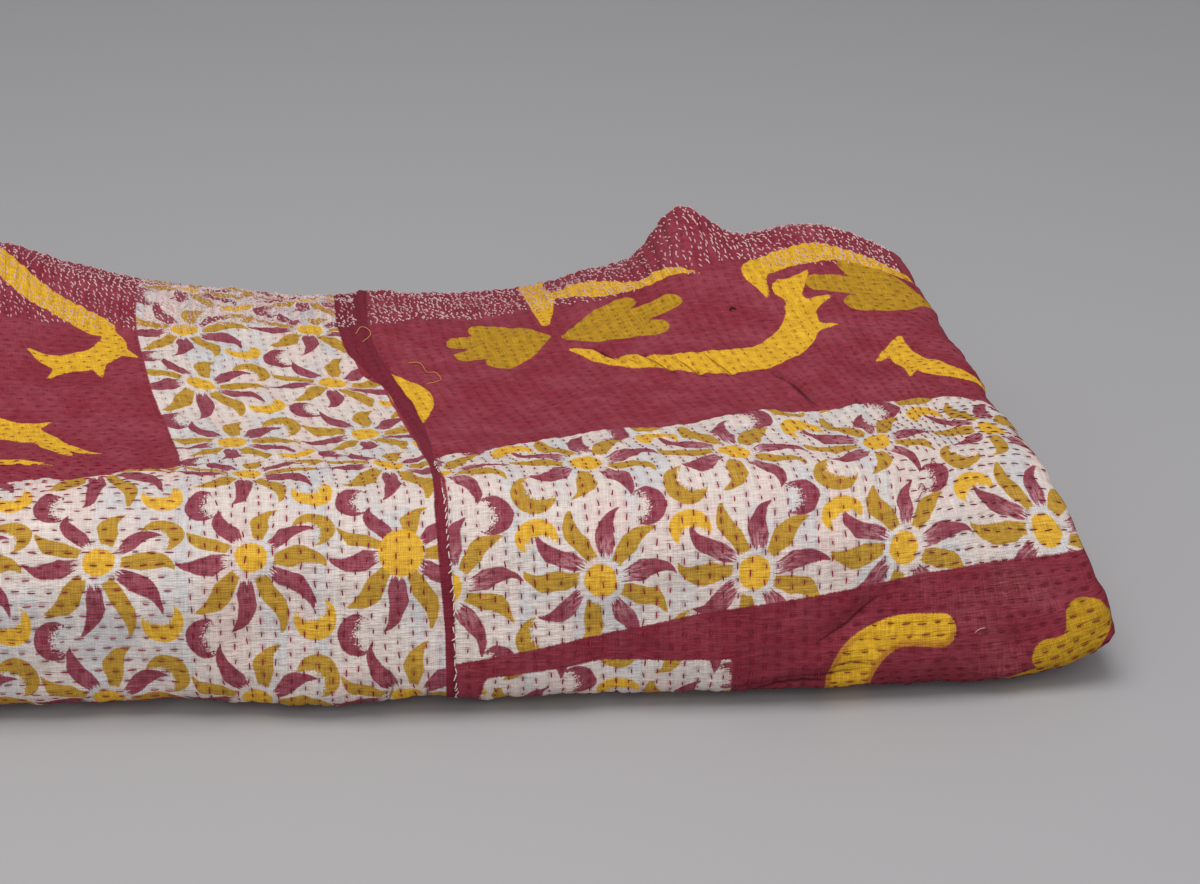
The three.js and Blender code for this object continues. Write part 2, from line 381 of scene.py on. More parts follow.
def insideStroke(u, v, places):
    # a brush stroke along a smooth line, whose half width changes on the way
    line = curvedLine(places)
    away, share = distanceToLine(u, v, line)
    lengths = np.concatenate([[0], np.cumsum(np.hypot(*np.diff(line[:, :2], axis=0).T))])
    return np.interp(share, lengths / lengths[-1], line[:, 2]) - away


# Scrolls and leaves of the ground print. A scroll is a brush stroke round an arc with barbs on its outer
# side, a fan is a leaf of round lobes from one place, and a stem is a stroke of (u, v, half width) places.
scrolls = [
    {"centre": (95, 310), "radii": (62, 45), "angles": (200, 375), "halfWidth": 10,
     "barbs": (0.7, 0.83, 0.95)},
    {"centre": (205, 255), "radii": (28, 32), "angles": (150, 275), "halfWidth": 8, "barbs": (0.2, 0.45)},
    {"centre": (-192, 312), "radii": (24, 20), "angles": (40, -140), "halfWidth": 8,
     "barbs": (0.3, 0.5, 0.7)},
    {"centre": (-250, 190), "radii": (45, 45), "angles": (180, 5), "halfWidth": 11, "barbs": (0.7, 0.9)},
    {"centre": (-345, 385), "radii": (28, 22), "angles": (200, -10), "halfWidth": 9, "barbs": (0.6, 0.8)},
]
scrollShape = {"spinePlaces": 7, "taper": (0.06, 0.94)}
scrollBarb = {"length": 19, "lean": 0.7, "rootShare": 0.7, "tip": 0.4}
leafFans = [
    {"at": (28, 305), "facing": 180, "spread": 75, "lobes": 4, "length": 50, "halfWidth": 8},
    {"at": (38, 302), "facing": 12, "spread": 50, "lobes": 3, "length": 58, "halfWidth": 8},
    {"at": (205, 310), "facing": 170, "spread": 55, "lobes": 3, "length": 58, "halfWidth": 9},
    {"at": (-305, 245), "facing": 175, "spread": 60, "lobes": 3, "length": 48, "halfWidth": 8},
    {"at": (197, 42), "facing": 125, "spread": 70, "lobes": 2, "length": 34, "halfWidth": 9},
]
leafShape = {"root": 3, "shorter": 0.4, "middleShare": 0.55, "tipShare": 0.8}
stems = [
    {"dye": "yellow", "line": [(32, 320, 2), (36, 360, 6), (36, 430, 6)]},
    {"dye": "yellow", "line": [(38, 375, 5), (65, 350, 8), (105, 330, 0.5)]},
    {"dye": "yellow", "line": [(130, 310, 0.5), (132, 335, 7), (165, 345, 8), (200, 335, 5)]},
    {"dye": "yellow", "line": [(-50, 280, 1), (-46, 255, 9), (-52, 225, 2)]},
    {"dye": "yellow", "line": [(-260, 390, 5), (-215, 360, 8), (-175, 325, 8)]},
    {"dye": "yellow", "line": [(-300, 180, 0.5), (-255, 190, 6), (-212, 178, 0.5)]},
    {"dye": "yellow", "line": [(-315, 320, 0.5), (-285, 310, 9), (-268, 270, 0.5)]},
    {"dye": "yellow", "line": [(99, 20, 9), (99, 50, 9), (115, 63, 6), (135, 63, 6)]},
    {"dye": "mustard", "line": [(160, 36, 3), (180, 38, 6)]},
]
spilledDye = {"place": (-77, 101), "radius": 9.0}
# (u, v, radius, strength) of each place that is rubbed pale
rubbedPlaces = [(168, 76, 12, 0.42), (181, 71, 8, 0.36), (150, 70, 12, 0.28), (156, 62, 3, 0.4),
                (128, 80, 10, 0.2), (160, 48, 16, 0.2), (100, 60, 9, 0.1)]


def aimed(place, angle, length):
    return place[0] + length * cos(angle), place[1] + length * sin(angle)


def scrollStrokes(scroll):
    start, end = (radians(angle) for angle in scroll["angles"])

    def spinePlace(share):
        return aimed(scroll["centre"], mix(start, end, share), mix(*scroll["radii"], share))

    yield [(*spinePlace(share), scroll["halfWidth"] * sin(pi * mix(*scrollShape["taper"], share)))
           for share in np.linspace(0, 1, scrollShape["spinePlaces"])]
    for share in scroll["barbs"]:
        lean = mix(start, end, share) + scrollBarb["lean"] * np.sign(end - start)
        tip = aimed(spinePlace(share), lean, scrollBarb["length"])
        root = (*spinePlace(share), scroll["halfWidth"] * scrollBarb["rootShare"])
        yield [root, (*tip, scrollBarb["tip"])]


def leafLobes(fan):
    half = fan["halfWidth"]
    for turn in np.linspace(-0.5, 0.5, fan["lobes"]):
        angle = radians(fan["facing"] + turn * fan["spread"])
        length = fan["length"] * (1 - leafShape["shorter"] * abs(turn)) - half
        middle = aimed(fan["at"], angle, length * leafShape["middleShare"])
        tip = aimed(fan["at"], angle, length)
        yield [(*fan["at"], leafShape["root"]), (*middle, half), (*tip, half * leafShape["tipShare"])]


def groundMotifs():
    # every stroke of the ground print, with its dye
    yield from (("yellow", places) for scroll in scrolls for places in scrollStrokes(scroll))
    yield from (("mustard", places) for fan in leafFans for places in leafLobes(fan))
    yield from ((stem["dye"], stem["line"]) for stem in stems)


def printFields(u, v, freeU):
    # signed distances that the dye follows, positive where the colour is
    white = np.max([insidePatch(u, v, outline) for outline in whitePatches.values()], axis=0)
    u = np.where(freeU < window["u"][0], freeU, u)
    dyed = {"yellow": [], "mustard": []}
    for dye, places in groundMotifs():
        dyed[dye].append(nearOnly(insideStroke, u, v, places, 20))
    rubbed = np.max([strength * np.exp(-np.hypot(u - x, (v - y) * 1.6) ** 2 / radius ** 2)
                     for x, y, radius, strength in rubbedPlaces], axis=0)
    spill = spilledDye["radius"] - np.hypot(u - spilledDye["place"][0], v - spilledDye["place"][1])
    strip = np.minimum(u - seamEdge("leftEdge", v), seamEdge("rightEdge", v) - u)
    return {"whiteEdge": white, "yellowEdge": np.max(dyed["yellow"], axis=0),
            "mustardEdge": np.max(dyed["mustard"], axis=0), "stripEdge": strip,
            "spillEdge": np.maximum(spill, farOutside), "rubbed": rubbed,
            "creaseShadeEdge": creaseShadeEdge(u, v), "shaded": (1 - smooth(v, 70, 130)) * smooth(u, -70, 10)}


# Lattices of the printed flowers
flowers = {
    "size": 60.0,
    "leftColumn": -135.0, "leftGap": 58.3, "rightColumn": 0.0, "rightGap": 60.0, "lowColumn": 31.0,
    "endStretch": 14.0, "stretched": (130, 195),
    "leftRows": [(-17, 0), (42, 1), (101, 2), (124, 2.5), (162, 3), (187, 3.5), (214, 4), (244, 4.5),
                 (271, 5), (298, 5.5), (329, 6), (360, 6.5), (393, 7), (450, 8)],
    "leftTilt": [(130, 0), (187, 4), (214, 5), (244, 4), (271, 0.5), (298, 2), (330, 2.5), (393, -10)],
    "rightRows": [(-26, -1), (28, 0), (87, 1), (113, 1.49), (148, 2), (188, 2.5), (226, 3), (262, 3.6)],
    "lowRows": [(-36, 0), (21, 1), (73, 2), (128, 3)],
    "tiltMiddle": -105, "tiltLength": 30, "mostTilt": 1.6,
    "dip": 8, "dipFrom": (155, 190), "dipStarts": (124, 160), "dipEnds": (175, 214),
    "rise": 6, "riseFrom": (60, 125), "riseEnds": (100, 150),
    "lowTop": (54, 66), "lowTopFrom": (-58, 20),
}


def rowNumber(v, rows):
    # counts the flower rows, which are not quite even, from the first one up
    places, counts = np.asarray(rows, float).T
    return curveThrough(places, counts, v) + (v - np.clip(v, places[0], places[-1])) / flowers["size"]


def flowerPlace(u, v):
    # right of the seam the same print lies the other way round
    tilt, places = np.asarray(flowers["leftTilt"], float).T[::-1]
    fromMiddle = (u - flowers["tiltMiddle"]) / flowers["tiltLength"]
    leaning = np.clip(fromMiddle, -flowers["mostTilt"], flowers["mostTilt"])
    tilted = v - curveThrough(places, tilt, v) * leaning
    dip = flowers["dip"] * smooth(-u, *flowers["dipFrom"]) * smooth(v, *flowers["dipStarts"])
    tilted -= dip * (1 - smooth(v, *flowers["dipEnds"]))
    leftP = (u - flowers["leftColumn"]) / flowers["leftGap"] + 0.5
    leftQ = rowNumber(tilted, flowers["leftRows"]) + 0.5
    stretched = u - flowers["endStretch"] * smooth(u, *flowers["stretched"])
    rise = flowers["rise"] * smooth(u, *flowers["riseFrom"]) * (1 - smooth(v, *flowers["riseEnds"]))
    low = v < mix(*flowers["lowTop"], smooth(u, *flowers["lowTopFrom"]))
    column = np.where(low, flowers["lowColumn"], flowers["rightColumn"])
    rightP = 0.5 - (stretched - column) / flowers["rightGap"]
    rightQ = 0.5 - np.where(low, rowNumber(v, flowers["lowRows"]), rowNumber(v - rise, flowers["rightRows"]))
    isLeft = u < seamEdge("rightEdge", v) - 2
    return np.where(isLeft, leftP, rightP), np.where(isLeft, leftQ, rightQ), 1.0 * ~isLeft * ~low


# The sheet's mesh starts as a flat slab of (u, v, side) and is cut finer where it shows
meshWork = {
    "leafCells": 44, "dressedCell": 17.2, "hiddenCell": 36.0, "frontSteps": [16, 10, 8], "backSteps": [8, 6],
    "outerCell": 2.3, "farCell": 4.6, "underCell": 9.0, "creaseCell": 0.7, "creaseReach": 2.4,
    "shownU": -262.0, "shownV": (-12.0, 420.0), "dressedV": (-14.0, 478.0),
    "hidden": 1e6, "rounds": 5,
    "reliefStarts": (-6, 8), "reliefEnds": (455, 475), "hemFade": 8, "foldFade": 4,
}
floorClearance = 0.00002


def meshStations():
    inner = pile["leftHem"] + pile["innerHemInset"]
    outerU = np.linspace(pile["leftHem"], pile["rightFold"], meshWork["leafCells"] + 1)
    foldU = np.linspace(pile["rightFold"], foldEnd, 7)[1:-1]
    innerU = foldEnd + np.linspace(0, pile["rightFold"] - inner, meshWork["leafCells"] + 1)
    stations, start = [], pathV[0]
    steps = {"front": iter(meshWork["frontSteps"]), "back": iter(meshWork["backSteps"])}
    for i in range(len(runs)):
        isLast = i == len(turns)
        runEnd = pathV[-1] if isLast else pathV[1 + i * (turnShape["steps"] + 1)]
        cells = round((runEnd - start) / meshWork["dressedCell" if i == 1 else "hiddenCell"])
        stations += list(np.linspace(start, runEnd, cells + 1)[:-1])
        if not isLast:
            start = pathV[(i + 1) * (turnShape["steps"] + 1)]
            stations += list(np.linspace(runEnd, start, next(steps[turns[i]["side"]]) + 1)[:-1])
    return np.concatenate([outerU, foldU, innerU]), np.array([*stations, pathV[-1]])


def flatSlab(us, vs):
    bm = bmesh.new()
    grid = [[[bm.verts.new((u, v, side)) for u in us] for v in vs] for side in (1, -1)]
    for i in range(len(vs) - 1):
        for k in range(len(us) - 1):
            top, under = grid[0], grid[1]
            bm.faces.new((top[i][k], top[i][k + 1], top[i + 1][k + 1], top[i + 1][k]))
            bm.faces.new((under[i][k], under[i + 1][k], under[i + 1][k + 1], under[i][k + 1]))
    border = [(0, k) for k in range(len(us))] + [(i, len(us) - 1) for i in range(1, len(vs))]
    border += [(len(vs) - 1, k) for k in range(len(us) - 2, -1, -1)]
    border += [(i, 0) for i in range(len(vs) - 2, 0, -1)]
    for (i, k), (j, m) in zip(border, [*border[1:], border[0]]):
        bm.faces.new((grid[0][i][k], grid[1][i][k], grid[1][j][m], grid[0][j][m]))
    return bm


def cellLimits(u, v, side):
    # the longest edge allowed at each place
    shown = (u > meshWork["shownU"]) & (v > meshWork["shownV"][0]) & (v < meshWork["shownV"][1])
    limit = np.where(shown, meshWork["outerCell"], meshWork["farCell"])
    away = np.min([distanceToLine(u, v, crease["line"])[0] for crease in creases], axis=0)
    limit = np.where(away < meshWork["creaseReach"], meshWork["creaseCell"], limit)
    limit = np.where(side < 0.9, meshWork["underCell"], limit)
    dressed = (v > meshWork["dressedV"][0]) & (v < meshWork["dressedV"][1]) & (u < foldEnd + 2)
    return np.where(dressed, limit, meshWork["hidden"])


def cutFiner(bm):
    for _ in range(meshWork["rounds"]):
        edges = [edge for edge in bm.edges if edge.verts[0].co.z == edge.verts[1].co.z]
        ends = np.array([(*edge.verts[0].co, *edge.verts[1].co) for edge in edges])
        lengths = np.linalg.norm(ends[:, 3:] - ends[:, :3], axis=1)
        isLong = lengths > cellLimits(*((ends[:, 3:] + ends[:, :3]) / 2).T)
        if not isLong.any():
            return
        tooLong = [edge for edge, cut in zip(edges, isLong) if cut]
        bmesh.ops.subdivide_edges(bm, edges=tooLong, cuts=1, use_grid_fill=True)


def makeQuiltMesh():
    bm = flatSlab(*meshStations())
    cutFiner(bm)
    mesh = bpy.data.meshes.new("quiltCloth")
    bm.to_mesh(mesh)
    bm.free()
    flat = np.empty(len(mesh.vertices) * 3)
    mesh.vertices.foreach_get("co", flat)
    u, v, side = flat.reshape(-1, 3).T
    middle, normal = middleAndNormal(u, v)
    fade = meshWork["foldFade"]
    dressed = (side > 0) * smooth(u, pile["leftHem"], pile["leftHem"] + meshWork["hemFade"])
    dressed = dressed * (1 - smooth(u, foldEnd - fade, foldEnd + fade))
    dressed = dressed * smooth(v, *meshWork["reliefStarts"]) * (1 - smooth(v, *meshWork["reliefEnds"]))
    away = side * pile["thickness"] / 2 + relief(u, v) * dressed
    place = middle + normal * away[:, None]
    place[:, :2] -= pile["middleOfFootprint"]
    mesh.vertices.foreach_set("co", (place * millimetre).ravel())
    writeFields(mesh, u, v, side)
    mesh.polygons.foreach_set("use_smooth", [True] * len(mesh.polygons))
    mesh.update()
    return mesh


def writeFields(mesh, u, v, side):
    corners = np.empty(len(mesh.loops), int)
    mesh.loops.foreach_get("vertex_index", corners)
    p, q, crescentShift = flowerPlace(u, v)
    for name, across, along in (("cloth", u * millimetre, v * millimetre), ("flowers", p, q)):
        layer = mesh.uv_layers.new(name=name)
        layer.data.foreach_set("uv", np.column_stack([across, along])[corners].ravel())
    heldU, heldV = mirrored(u, window["u"]), mirrored(v, window["v"])
    fields = printFields(heldU, heldV, u)
    fields["crescentShift"] = crescentShift
    fields["rows"] = rowsShare(heldU, heldV)
    fields["whiteThread"] = whiteThreadShare(heldU, heldV)
    fields["sewn"] = (side > 0) * (u < foldEnd) * (v > sewnV[0]) * (v < sewnV[1]) * 1.0
    for name, values in fields.items():
        layer = mesh.attributes.new(name, "FLOAT", "POINT")
        layer.data.foreach_set("value", np.asarray(values, np.float32))


class Socket:
    # a shader socket that takes part in plain arithmetic
    def __init__(self, graph, link):
        self.graph, self.link = graph, link

    def calc(self, operation, *values):
        return self.graph.maths(operation, self, *values)

    def __add__(self, other):
        return self.calc("ADD", other)

    def __sub__(self, other):
        return self.calc("SUBTRACT", other)

    def __rsub__(self, other):
        return self.graph.maths("SUBTRACT", other, self)

    def __mul__(self, other):
        return self.calc("MULTIPLY", other)

    def __truediv__(self, other):
        return self.calc("DIVIDE", other)

    __radd__, __rmul__ = __add__, __mul__


class Graph:
    def __init__(self, tree):
        self.tree = tree

    def node(self, kind, settings=None, **inputs):
        made = self.tree.nodes.new(kind)
        for name, value in (settings or {}).items():
            setattr(made, name, value)
        for name, value in inputs.items():
            self.plug(made.inputs[name.replace("_", " ")], value)
        return made

    def plug(self, socket, value):
        if isinstance(value, Socket):
            self.tree.links.new(value.link, socket)
        else:
            socket.default_value = value

    def out(self, made, name=0):
        return Socket(self, made.outputs[name])

    def maths(self, operation, *values):
        made = self.node("ShaderNodeMath", {"operation": operation})
        for socket, value in zip(made.inputs, values):
            self.plug(socket, value)
        return self.out(made)

    def fade(self, value, start, end):
        return self.out(self.node("ShaderNodeMapRange", {"interpolation_type": "SMOOTHSTEP"},
                                  Value=value, From_Min=start, From_Max=end))

    def colours(self, share, a, b, how="MIX"):
        made = self.node("ShaderNodeMix", {"data_type": "RGBA", "blend_type": how})
        self.plug(made.inputs[0], share)
        self.plug(made.inputs[6], a)
        self.plug(made.inputs[7], b)
        return self.out(made, 2)

    def mixed(self, share, a, b):
        return share * (b - a) + a

    def ramp(self, value, stops, how="LINEAR"):
        made = self.node("ShaderNodeValToRGB", Fac=value)
        made.color_ramp.interpolation = how
        while len(made.color_ramp.elements) < len(stops):
            made.color_ramp.elements.new(0.5)
        for element, (place, colour) in zip(made.color_ramp.elements, stops):
            element.position, element.color = place, colour
        split = self.node("ShaderNodeSeparateColor", Color=self.out(made, 0))
        return {"red": self.out(split, 0), "green": self.out(split, 1), "blue": self.out(split, 2),
                "alpha": self.out(made, 1)}

    def vector(self, x, y, z=0.0):
        return self.out(self.node("ShaderNodeCombineXYZ", X=x, Y=y, Z=z))

    def noise(self, vector, scale, detail=2.0, roughness=0.5):
        return self.out(self.node("ShaderNodeTexNoise", Vector=vector, Scale=scale, Detail=detail,
                                  Roughness=roughness))

    def field(self, name):
        return self.out(self.node("ShaderNodeAttribute", {"attribute_name": name}), "Fac")

    def uv(self, name):
        place = self.out(self.node("ShaderNodeUVMap", {"uv_map": name}))
        split = self.node("ShaderNodeSeparateXYZ", Vector=place)
        return self.out(split, 0), self.out(split, 1)

    def either(self, a, b):
        return self.maths("MAXIMUM", a, b)

    def both(self, a, b):
        return self.maths("MINIMUM", a, b)


dyes = {
    "rust": (0.38, 0.105, 0.025, 1), "rubbed": (0.55, 0.22, 0.20, 1), "redThread": (0.28, 0.012, 0.034, 1),
    "white": (0.73, 0.625, 0.57, 1), "blueTint": (0.54, 0.57, 0.60, 1), "pinkTint": (0.76, 0.55, 0.50, 1),
    "maroon": (0.255, 0.027, 0.044, 1), "maroonPale": (0.36, 0.075, 0.105, 1),
    "maroonDark": (0.19, 0.020, 0.036, 1), "stripMaroon": (0.19, 0.018, 0.034, 1),
    "petalMaroon": (0.21, 0.022, 0.045, 1), "petalPale": (0.34, 0.062, 0.095, 1),
    "petalStreak": (0.56, 0.27, 0.29, 1),
    "mustard": (0.55, 0.30, 0.018, 1), "mustardDark": (0.42, 0.225, 0.014, 1),
    "yellow": (0.818, 0.491, 0.036, 1), "yellowDeep": (0.707, 0.360, 0.020, 1),
}
rustEdge = {"edge": (3.2, 1.2), "below": (65.0, 60.0), "from": (84.0, 90.0), "share": 0.65}
flowerShape = {
    "discRadius": 6.3, "petalStart": 8.2, "edge": 0.3, "hook": 1.5, "wedge": 0.29,
    "notch": {"maroon": 1.2, "mustard": 0.6}, "hairs": {"maroon": 12.0, "mustard": 3.0},
}
petals = [
    {"angle": 30, "length": 28.0, "bow": 2.8, "halfWidth": 4.4, "dye": "maroon"},
    {"angle": 71, "length": 27.0, "bow": 3.0, "halfWidth": 4.9, "dye": "mustard"},
    {"angle": 120, "length": 29.0, "bow": 2.2, "halfWidth": 4.2, "dye": "maroon"},
    {"angle": 155, "length": 29.0, "bow": 2.6, "halfWidth": 4.9, "dye": "mustard"},
    {"angle": 185, "length": 30.0, "bow": 2.6, "halfWidth": 4.3, "dye": "maroon"},
    {"angle": 226, "length": 30.5, "bow": 2.0, "halfWidth": 5.1, "dye": "mustard"},
    {"angle": 258, "length": 31.0, "bow": 2.4, "halfWidth": 4.6, "dye": "maroon"},
    {"angle": 292, "length": 33.0, "bow": 2.9, "halfWidth": 5.0, "dye": "mustard"},
    {"angle": 322, "length": 32.5, "bow": 3.2, "halfWidth": 4.5, "dye": "maroon"},
    {"angle": 354, "length": 31.5, "bow": 2.6, "halfWidth": 4.9, "dye": "mustard"},
]
crescents = {
    "yellow": {"at": (-5.4, 5.2), "opens": 106, "radius": 8.4, "hollow": 6.4, "shift": 6.0, "hairs": 6.5,
               "lower": 5.5},
    "mustard": {"at": (-5.0, -16.8), "opens": 222, "radius": 9.0, "hollow": 6.8, "shift": 5.6, "hairs": 6.0,
                "lower": 8.5},
    "maroon": {"at": (11.0, -1.5), "opens": 5, "radius": 8.2, "hollow": 6.4, "shift": 5.6, "hairs": 13.0,
               "lower": 2.0},
}
rampTop = {"length": 40.0, "bow": 4.0, "halfWidth": 8.0}  # a ramp holds values from 0 to 1


def petalRamp(g, turn, values):
    # looks up one value for each petal by the angle around the flower, given in turns from 0 to 1
    angles = [petal["angle"] / 360 for petal in petals]
    stops = []
    for i, angle in enumerate(angles):
        before = angles[i - 1] - (i == 0)
        stops.append(((before + angle) / 2 % 1.0, values[i]))
    stops.sort()
    stops.insert(0, (0.0, stops[-1][1]))
    return g.ramp(turn, stops, "CONSTANT")


def petalMasks(g, x, y, rough):
    # each petal is a flame: broad at the disc, bowed one way and hooked the other way at its tip
    radius = g.maths("SQRT", x * x + y * y)
    turn = g.maths("FRACT", g.maths("ARCTAN2", y, x) / (2 * pi) + 1.0)
    shapes = petalRamp(g, turn, [(n["angle"] / 360, *(n[key] / top for key, top in rampTop.items()))
                                 for n in petals])
    isMaroon = petalRamp(g, turn, [(float(n["dye"] == "maroon"),) * 3 + (1.0,) for n in petals])["red"]
    around = g.maths("WRAP", turn - shapes["red"], 0.5, -0.5) * (2 * pi)
    along = radius * g.maths("COSINE", around)
    aside = radius * g.maths("SINE", around)
    start = flowerShape["petalStart"]
    t = g.either((along - start) / (shapes["green"] * rampTop["length"] - start), 0.0)
    left = g.either(1.0 - t, 0.0)
    hooked = g.maths("POWER", t, 5.0) * flowerShape["hook"]
    middle = t * left * (t * 4.0 + 1.5) * (shapes["blue"] * rampTop["bow"]) - hooked
    off = g.maths("ABSOLUTE", aside - middle)
    swell = 0.95 + t * 0.9 - t * t * 1.0
    wide = g.maths("POWER", left, 0.5) * swell * (shapes["alpha"] * rampTop["halfWidth"])
    halfWidth = g.both(wide, along * flowerShape["wedge"] - 0.4)
    hairs = g.noise(g.vector(x / radius * 15.0, y / radius * 15.0, radius * 0.22), 1.0, 2.0, 0.75) - 0.47
    notch = g.mixed(isMaroon, flowerShape["notch"]["mustard"], flowerShape["notch"]["maroon"])
    deep = g.mixed(isMaroon, flowerShape["hairs"]["mustard"], flowerShape["hairs"]["maroon"])
    hollow = notch * (1.0 - off * off * 0.1) + hairs * deep
    inside = g.both(halfWidth - off, (along - start - hollow) * 0.7)
    inside = g.both(inside, (1.0 - t) * 9.0) + rough * 1.1
    petal = g.fade(inside, -flowerShape["edge"], flowerShape["edge"])
    disc = flowerShape["discRadius"] - radius + rough * 1.6 + hairs * 1.2
    streaks = g.fade(hairs, -0.03, 0.08) * g.fade(t, 0.62, 0.15) * isMaroon
    return {"maroon": petal * isMaroon, "mustard": petal * (1.0 - isMaroon),
            "yellow": g.fade(disc, -0.2, 0.25), "streaks": streaks}


def crescentMask(g, x, y, p, shape, rough):
    # a disc with a hollow on one side, brushed out into streaks towards its opening
    opens = radians(shape["opens"])
    ax, ay = x - shape["at"][0], y - shape["at"][1]
    ahead, across = ax * cos(opens) + ay * sin(opens), ay * cos(opens) - ax * sin(opens)
    outer = shape["radius"] - g.maths("SQRT", ahead * ahead * 1.1 + across * across)
    hx = ahead - shape["shift"]
    hollow = g.maths("SQRT", hx * hx + across * across) - shape["hollow"]
    hairs = g.noise(g.vector(across * 1.3, ahead * 0.14, p * 60.0), 1.0, 2.0, 0.75) - 0.5
    return g.both(outer, hollow + hairs * shape["hairs"]) + rough * 1.0


def flowerPrint(g, u, v, rough):
    # dye masks of the flower lattice: petals, discs and the crescents between the flowers
    p, q = g.uv("flowers")
    wobble = g.noise(g.vector(u * 0.1, v * 0.1), 1.0, 1.0) - 0.5
    waver = g.noise(g.vector(v * 0.1, u * 0.1, 9.0), 1.0, 1.0) - 0.5
    x = (g.maths("FRACT", p) - 0.5) * flowers["size"] + wobble * 3.0
    y = (g.maths("FRACT", q) - 0.5) * flowers["size"] + waver * 3.0
    masks = petalMasks(g, x, y, rough)
    cx = (g.maths("FRACT", p + 0.5) - 0.5) * flowers["size"] + wobble * 2.0
    cy = (g.maths("FRACT", q + 0.5) - 0.5) * flowers["size"] + waver * 2.0
    lowered = g.field("crescentShift")
    for colour, shape in crescents.items():
        mask = crescentMask(g, cx, cy - lowered * shape["lower"], p, shape, rough)
        crescent = g.fade(mask, -flowerShape["edge"], flowerShape["edge"])
        masks[colour] = g.either(masks[colour], crescent)
    return masks


def stitchDimples(g, u, v):
    # how deep the running stitches pull the cloth down, from 0 to 1
    def dimples(across, along, gap, pitch):
        bend = g.maths("SINE", along / stitchWork["wanderLength"]) * stitchWork["wander"]
        place = (across - bend) / gap
        line = g.maths("FLOOR", place + 0.5)
        aside = (place - line) * gap
        swing = g.maths("SINE", line * stitchWork["phaseTurn"]) * stitchWork["phaseSwing"]
        phase = g.maths("FRACT", line * stitchWork["phaseStep"] + swing + along / pitch)
        onward = (phase - 0.5) * pitch
        return g.maths("EXPONENT", (aside * aside * 1.1 + onward * onward * 0.38) * -1.0)
    columns = dimples(u - pile["leftHem"], v, stitchWork["columnGap"], stitchWork["columnPitch"])
    rows = dimples(v, u, stitchWork["rowGap"], stitchWork["rowPitch"])
    white = dimples(u - pile["leftHem"], v, stitchWork["columnGap"], stitchWork["whitePitch"])
    inRows, inWhite = g.field("rows"), g.field("whiteThread")
    red = rows * inRows + columns * (1.0 - inRows)
    return white * inWhite + red * (1.0 - inWhite), inWhite


def weaveHeight(g, u, v):
    # threads of the plain weave, about 0.45 mm apart, with thicker ones and slubs here and there
    warp = g.noise(g.vector(u * 2.3, v * 0.10), 1.0, 1.0, 0.5)
    weft = g.noise(g.vector(u * 0.10, v * 2.3, 4.0), 1.0, 1.0, 0.5)
    slubs = g.noise(g.vector(u * 0.035, v * 1.1, 8.0), 1.0, 1.0, 0.5)
    rises = g.noise(g.vector(u * 1.1, v * 0.035, 12.0), 1.0, 1.0, 0.5)
    fine = g.fade(warp, 0.3, 0.7) + g.fade(weft, 0.3, 0.7)
    return fine * 0.42 + (g.fade(slubs, 0.6, 0.8) + g.fade(rises, 0.62, 0.82)) * 0.2


